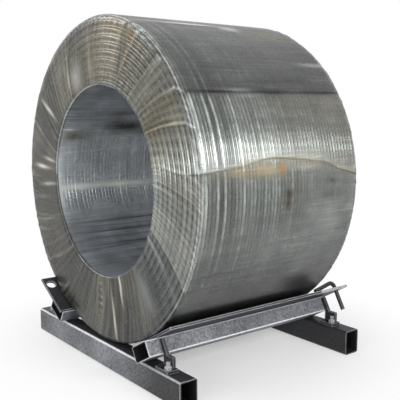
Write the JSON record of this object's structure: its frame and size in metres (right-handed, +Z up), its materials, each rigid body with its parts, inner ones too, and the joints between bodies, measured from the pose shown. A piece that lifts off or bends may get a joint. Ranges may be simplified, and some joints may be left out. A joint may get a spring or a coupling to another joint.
{
  "type": "coil of cored wire on a cradle",
  "caption": "Wound coil of cored wire wrapped in clear film through its eye, lying on a low welded steel cradle of box tubes with tilted bearing plates.",
  "frame": {"origin": "centre of the bounding box, on the floor under the sleepers", "axes": "+X along the sleepers, +Y along the coil's axis to the rear end, +Z up"},
  "size_m": [1.003, 0.791, 1.086],
  "materials": {
    "wire": "bare rolled strip with dull patches and a little rust",
    "film": "clear glossy stretch film with pleats",
    "cradle_steel": "worn grey paint with dark speckle",
    "fastener": "plain dull steel"
  },
  "bodies": {
    "root": {"wire_coil": "wire", "film_wrap": "film", "sleeper_front": "cradle_steel", "sleeper_rear": "cradle_steel", "rail_left": "cradle_steel", "rail_right": "cradle_steel", "bearing_plate_left": "cradle_steel", "bearing_plate_right": "cradle_steel", "bracket_front_left": "cradle_steel", "bracket_front_right": "cradle_steel", "bracket_rear_left": "cradle_steel", "bracket_rear_right": "cradle_steel", "foot_bolts": "fastener", "drop_pin": "fastener"}
  },
  "joints": []
}
